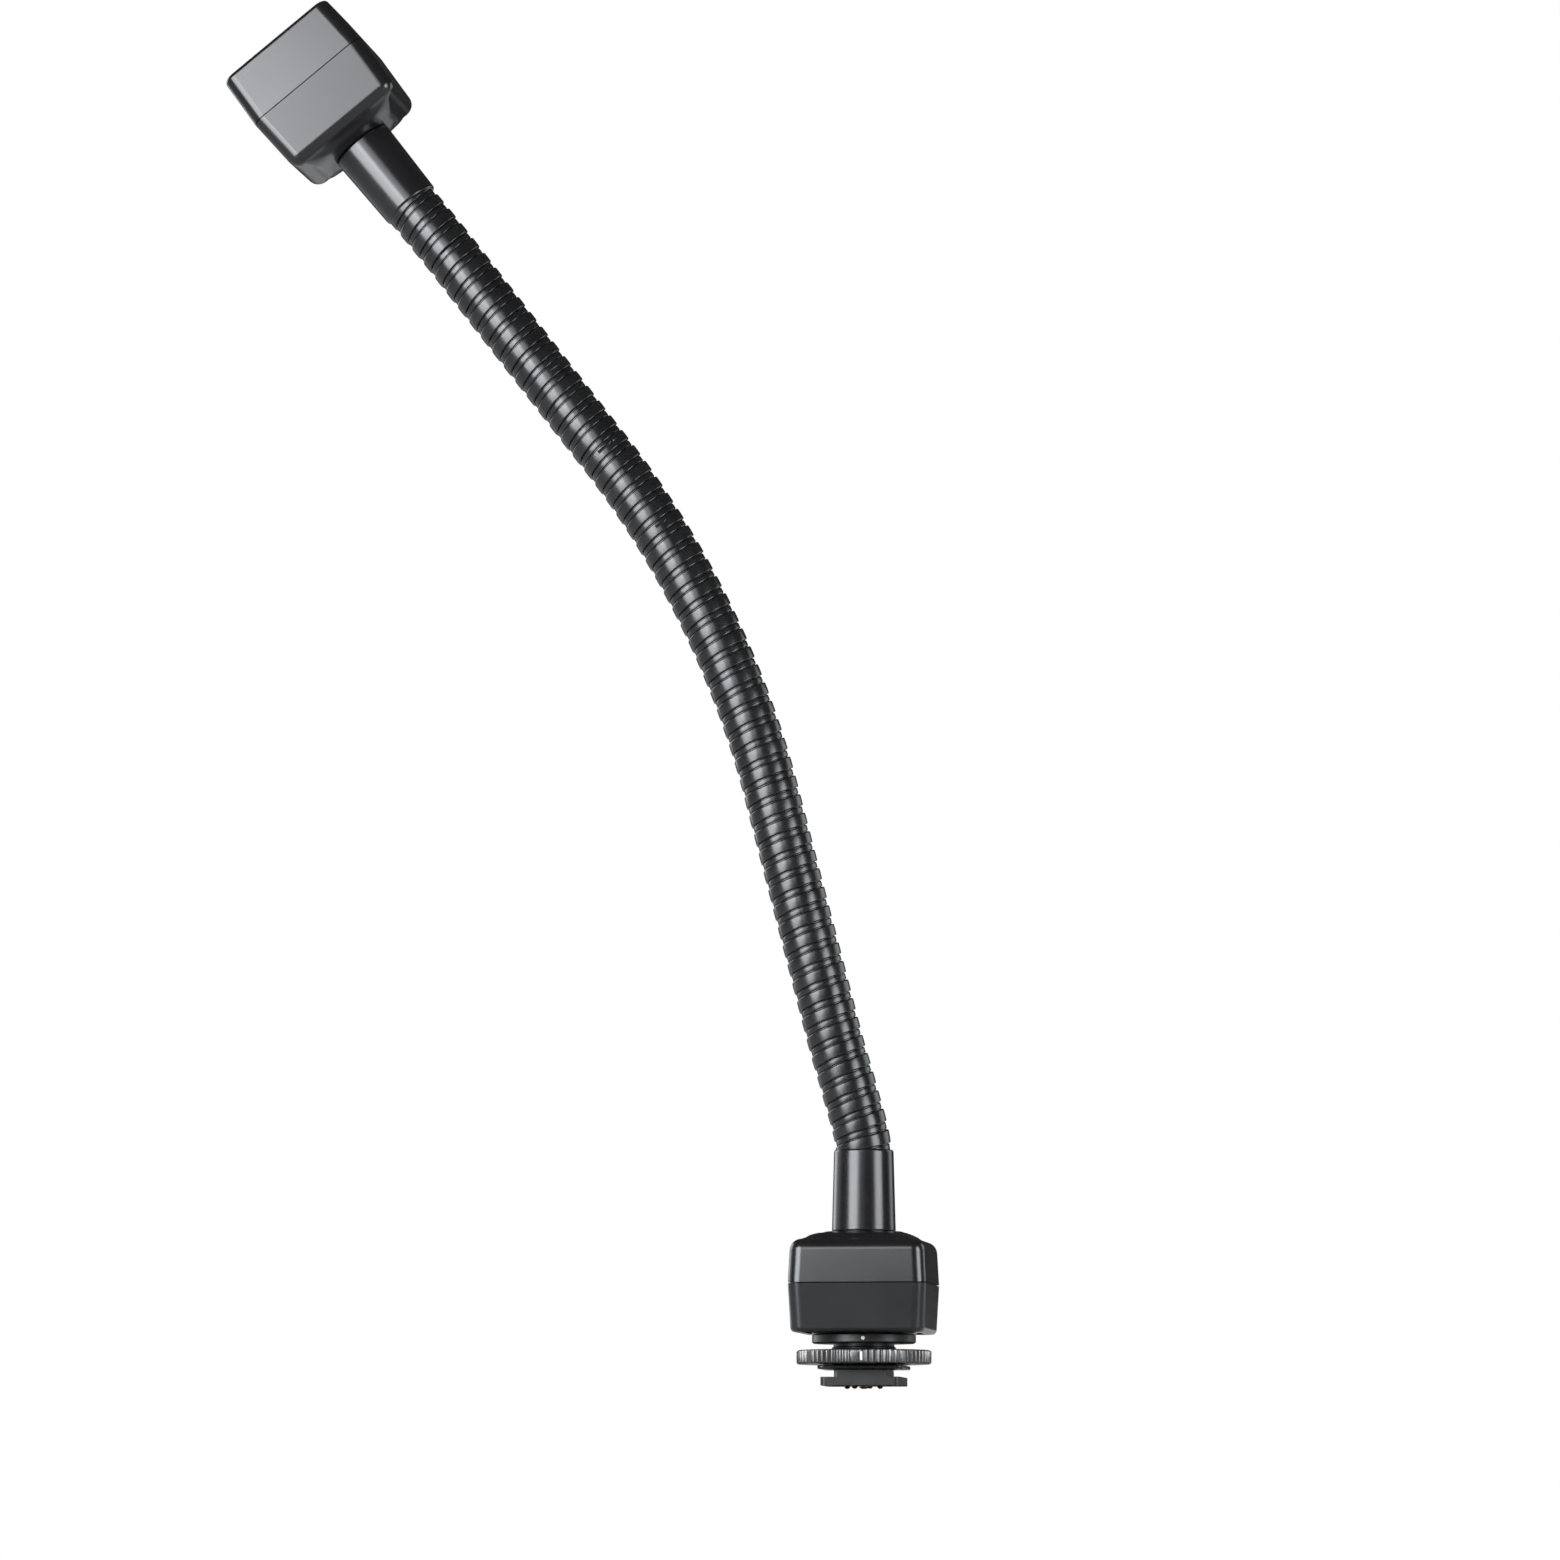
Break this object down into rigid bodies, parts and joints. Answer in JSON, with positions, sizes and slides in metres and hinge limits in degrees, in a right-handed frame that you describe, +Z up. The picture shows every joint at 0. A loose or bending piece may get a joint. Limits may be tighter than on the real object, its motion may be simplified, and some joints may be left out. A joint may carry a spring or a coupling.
{
  "type": "gooseneck flash bracket",
  "caption": "Bendable ribbed arm with a clamping shoe foot at one end and a shoe socket at the other, which carries a flash away from the camera and passes its signals on.",
  "frame": {"origin": "centre of the shoe foot's underside", "axes": "+Z up out of the camera's shoe, the foot slides in along Y with its front towards -Y, and the arm leans towards -X"},
  "size_m": [0.1659, 0.034, 0.327],
  "materials": {
    "shell": "glossy black, lightly polished",
    "sleeve": "smooth semi-gloss black",
    "arm": "satin black over steel strip",
    "foot": "matt black",
    "ring": "satin black, knurled",
    "steel": "dark zinc",
    "bright": "bright nickel",
    "brass": "gold plated",
    "board": "green board",
    "cable": "dark grey sheath"
  },
  "bodies": {
    "base": {"shoe_foot": "foot", "stem_nut": "steel", "contact_carrier": "foot", "lower_cover_shell": "shell", "lower_ferrule_shell": "shell", "lower_circuit_board": "board", "lower_screw_1": "steel", "lower_screw_2": "steel", "lower_ferrule": "sleeve", "lower_ferrule_nut": "steel", "gooseneck_lower_end": "arm", "signal_cable": "cable"},
    "link_01": {"gooseneck_link_01": "arm"},
    "link_02": {"gooseneck_link_02": "arm"},
    "link_03": {"gooseneck_link_03": "arm"},
    "link_04": {"gooseneck_link_04": "arm"},
    "link_05": {"gooseneck_link_05": "arm"},
    "link_06": {"gooseneck_link_06": "arm"},
    "link_07": {"gooseneck_link_07": "arm"},
    "link_08": {"gooseneck_link_08": "arm"},
    "link_09": {"gooseneck_link_09": "arm"},
    "link_10": {"gooseneck_link_10": "arm"},
    "link_11": {"gooseneck_link_11": "arm"},
    "link_12": {"gooseneck_link_12": "arm"},
    "link_13": {"gooseneck_link_13": "arm"},
    "link_14": {"gooseneck_link_14": "arm"},
    "link_15": {"gooseneck_link_15": "arm"},
    "link_16": {"gooseneck_link_16": "arm"},
    "link_17": {"gooseneck_link_17": "arm"},
    "link_18": {"gooseneck_link_18": "arm"},
    "link_19": {"gooseneck_link_19": "arm"},
    "link_20": {"gooseneck_link_20": "arm"},
    "link_21": {"gooseneck_link_21": "arm"},
    "head": {"gooseneck_upper_end": "arm", "upper_ferrule": "sleeve", "upper_ferrule_nut": "steel", "upper_ferrule_shell": "shell", "upper_cover_shell": "shell", "upper_circuit_board": "board", "upper_screw_1": "steel", "upper_screw_2": "steel", "contact_block": "foot", "socket_contact_1": "brass", "socket_contact_2": "brass", "socket_contact_3": "brass", "socket_contact_4": "brass", "socket_contact_5": "brass", "shoe_rails": "bright", "shoe_spring": "bright", "rail_screw_1": "steel", "rail_screw_2": "steel", "rail_screw_3": "steel", "rail_screw_4": "steel"},
    "washer": {"clamp_washer": "steel"},
    "ring": {"locking_ring": "ring"},
    "contact_1": {"foot_contact_1": "brass"},
    "contact_2": {"foot_contact_2": "brass"},
    "contact_3": {"foot_contact_3": "brass"},
    "contact_4": {"foot_contact_4": "brass"},
    "contact_5": {"foot_contact_5": "brass"}
  },
  "joints": [
    {"name": "bend_01_fore", "type": "hinge", "parent": "base", "child": "link_01", "pos_m": [0, 0, 0.0579], "axis": [0.989, 0, 0.1478], "range_deg": [-6.2, 6.2], "deforming": ["signal_cable"]},
    {"name": "lower_bend_side", "type": "hinge", "parent": "link_01", "child": "link_02", "pos_m": [-0.00329, 0, 0.06866], "axis": [0, -1, 0], "range_deg": [-12, 12], "deforming": ["signal_cable"]},
    {"name": "lower_bend_fore", "type": "hinge", "parent": "link_02", "child": "link_03", "pos_m": [-0.00639, 0, 0.07947], "axis": [0.9648, 0, 0.263], "range_deg": [-12, 12], "deforming": ["signal_cable"]},
    {"name": "bend_04_side", "type": "hinge", "parent": "link_03", "child": "link_04", "pos_m": [-0.00921, 0, 0.09036], "axis": [0, -1, 0], "range_deg": [-12.2, 12.2], "deforming": ["signal_cable"]},
    {"name": "bend_05_fore", "type": "hinge", "parent": "link_04", "child": "link_05", "pos_m": [-0.01202, 0, 0.10126], "axis": [0.9681, 0, 0.2504], "range_deg": [-12.2, 12.2], "deforming": ["signal_cable"]},
    {"name": "bend_06_side", "type": "hinge", "parent": "link_05", "child": "link_06", "pos_m": [-0.01484, 0, 0.11215], "axis": [0, -1, 0], "range_deg": [-12.2, 12.2], "deforming": ["signal_cable"]},
    {"name": "bend_07_fore", "type": "hinge", "parent": "link_06", "child": "link_07", "pos_m": [-0.01766, 0, 0.12304], "axis": [0.9681, 0, 0.2504], "range_deg": [-12.2, 12.2], "deforming": ["signal_cable"]},
    {"name": "bend_08_side", "type": "hinge", "parent": "link_07", "child": "link_08", "pos_m": [-0.02047, 0, 0.13393], "axis": [0, -1, 0], "range_deg": [-12.2, 12.2], "deforming": ["signal_cable"]},
    {"name": "bend_09_fore", "type": "hinge", "parent": "link_08", "child": "link_09", "pos_m": [-0.02336, 0, 0.14481], "axis": [0.96, 0, 0.28], "range_deg": [-12.2, 12.2], "deforming": ["signal_cable"]},
    {"name": "bend_10_side", "type": "hinge", "parent": "link_09", "child": "link_10", "pos_m": [-0.02677, 0, 0.15552], "axis": [0, -1, 0], "range_deg": [-12.2, 12.2], "deforming": ["signal_cable"]},
    {"name": "bend_11_fore", "type": "hinge", "parent": "link_10", "child": "link_11", "pos_m": [-0.03071, 0, 0.16606], "axis": [0.9278, 0, 0.3731], "range_deg": [-12.2, 12.2], "deforming": ["signal_cable"]},
    {"name": "upper_bend_side", "type": "hinge", "parent": "link_11", "child": "link_12", "pos_m": [-0.03516, 0, 0.17639], "axis": [0, -1, 0], "range_deg": [-12, 12], "deforming": ["signal_cable"]},
    {"name": "upper_bend_fore", "type": "hinge", "parent": "link_12", "child": "link_13", "pos_m": [-0.04012, 0, 0.18649], "axis": [0.8866, 0, 0.4626], "range_deg": [-12, 12], "deforming": ["signal_cable"]},
    {"name": "bend_14_side", "type": "hinge", "parent": "link_13", "child": "link_14", "pos_m": [-0.04557, 0, 0.19634], "axis": [0, -1, 0], "range_deg": [-12.2, 12.2], "deforming": ["signal_cable"]},
    {"name": "bend_15_fore", "type": "hinge", "parent": "link_14", "child": "link_15", "pos_m": [-0.0515, 0, 0.2059], "axis": [0.8367, 0, 0.5477], "range_deg": [-12.2, 12.2], "deforming": ["signal_cable"]},
    {"name": "bend_16_side", "type": "hinge", "parent": "link_15", "child": "link_16", "pos_m": [-0.05789, 0, 0.21516], "axis": [0, -1, 0], "range_deg": [-12.2, 12.2], "deforming": ["signal_cable"]},
    {"name": "bend_17_fore", "type": "hinge", "parent": "link_16", "child": "link_17", "pos_m": [-0.06473, 0, 0.22409], "axis": [0.7931, 0, 0.6091], "range_deg": [-12.2, 12.2], "deforming": ["signal_cable"]},
    {"name": "bend_18_side", "type": "hinge", "parent": "link_17", "child": "link_18", "pos_m": [-0.07159, 0, 0.233], "axis": [0, -1, 0], "range_deg": [-12.2, 12.2], "deforming": ["signal_cable"]},
    {"name": "bend_19_fore", "type": "hinge", "parent": "link_18", "child": "link_19", "pos_m": [-0.07846, 0, 0.24191], "axis": [0.7923, 0, 0.6101], "range_deg": [-12.2, 12.2], "deforming": ["signal_cable"]},
    {"name": "bend_20_side", "type": "hinge", "parent": "link_19", "child": "link_20", "pos_m": [-0.08532, 0, 0.25083], "axis": [0, -1, 0], "range_deg": [-12.2, 12.2], "deforming": ["signal_cable"]},
    {"name": "bend_21_fore", "type": "hinge", "parent": "link_20", "child": "link_21", "pos_m": [-0.09218, 0, 0.25974], "axis": [0.7923, 0, 0.6101], "range_deg": [-12.2, 12.2], "deforming": ["signal_cable"]},
    {"name": "bend_22_side", "type": "hinge", "parent": "link_21", "child": "head", "pos_m": [-0.09905, 0, 0.26865], "axis": [0, -1, 0], "range_deg": [-12.2, 12.2], "deforming": ["signal_cable"]},
    {"name": "ring_lift", "type": "slide", "parent": "base", "child": "washer", "axis": [0, 0, 1], "range_m": [0, 0.0012]},
    {"name": "ring_turn", "type": "hinge", "parent": "washer", "child": "ring", "pos_m": [0, 0, 0.00665], "axis": [0, 0, 1], "range_deg": [0, 270.2]},
    {"name": "contact_1_press", "type": "slide", "parent": "base", "child": "contact_1", "axis": [0, 0, 1], "range_m": [0, 0.0007], "stiffness_N_per_m": 700},
    {"name": "contact_2_press", "type": "slide", "parent": "base", "child": "contact_2", "axis": [0, 0, 1], "range_m": [0, 0.0007], "stiffness_N_per_m": 700},
    {"name": "contact_3_press", "type": "slide", "parent": "base", "child": "contact_3", "axis": [0, 0, 1], "range_m": [0, 0.0007], "stiffness_N_per_m": 700},
    {"name": "contact_4_press", "type": "slide", "parent": "base", "child": "contact_4", "axis": [0, 0, 1], "range_m": [0, 0.0007], "stiffness_N_per_m": 700},
    {"name": "contact_5_press", "type": "slide", "parent": "base", "child": "contact_5", "axis": [0, 0, 1], "range_m": [0, 0.0007], "stiffness_N_per_m": 700}
  ],
  "couplings": [
    {"joint": "bend_01_fore", "follows": "lower_bend_fore", "ratio": 0.5},
    {"joint": "bend_04_side", "follows": "lower_bend_side", "ratio": 1},
    {"joint": "bend_05_fore", "follows": "lower_bend_fore", "ratio": 1},
    {"joint": "bend_06_side", "follows": "lower_bend_side", "ratio": 1},
    {"joint": "bend_07_fore", "follows": "lower_bend_fore", "ratio": 1},
    {"joint": "bend_08_side", "follows": "lower_bend_side", "ratio": 1},
    {"joint": "bend_09_fore", "follows": "lower_bend_fore", "ratio": 1},
    {"joint": "bend_10_side", "follows": "lower_bend_side", "ratio": 1},
    {"joint": "bend_11_fore", "follows": "lower_bend_fore", "ratio": 1},
    {"joint": "bend_14_side", "follows": "upper_bend_side", "ratio": 1},
    {"joint": "bend_15_fore", "follows": "upper_bend_fore", "ratio": 1},
    {"joint": "bend_16_side", "follows": "upper_bend_side", "ratio": 1},
    {"joint": "bend_17_fore", "follows": "upper_bend_fore", "ratio": 1},
    {"joint": "bend_18_side", "follows": "upper_bend_side", "ratio": 1},
    {"joint": "bend_19_fore", "follows": "upper_bend_fore", "ratio": 1},
    {"joint": "bend_20_side", "follows": "upper_bend_side", "ratio": 1},
    {"joint": "bend_21_fore", "follows": "upper_bend_fore", "ratio": 1},
    {"joint": "bend_22_side", "follows": "upper_bend_side", "ratio": 1},
    {"joint": "ring_turn", "follows": "ring_lift", "rad_per_m": 3927}
  ]
}
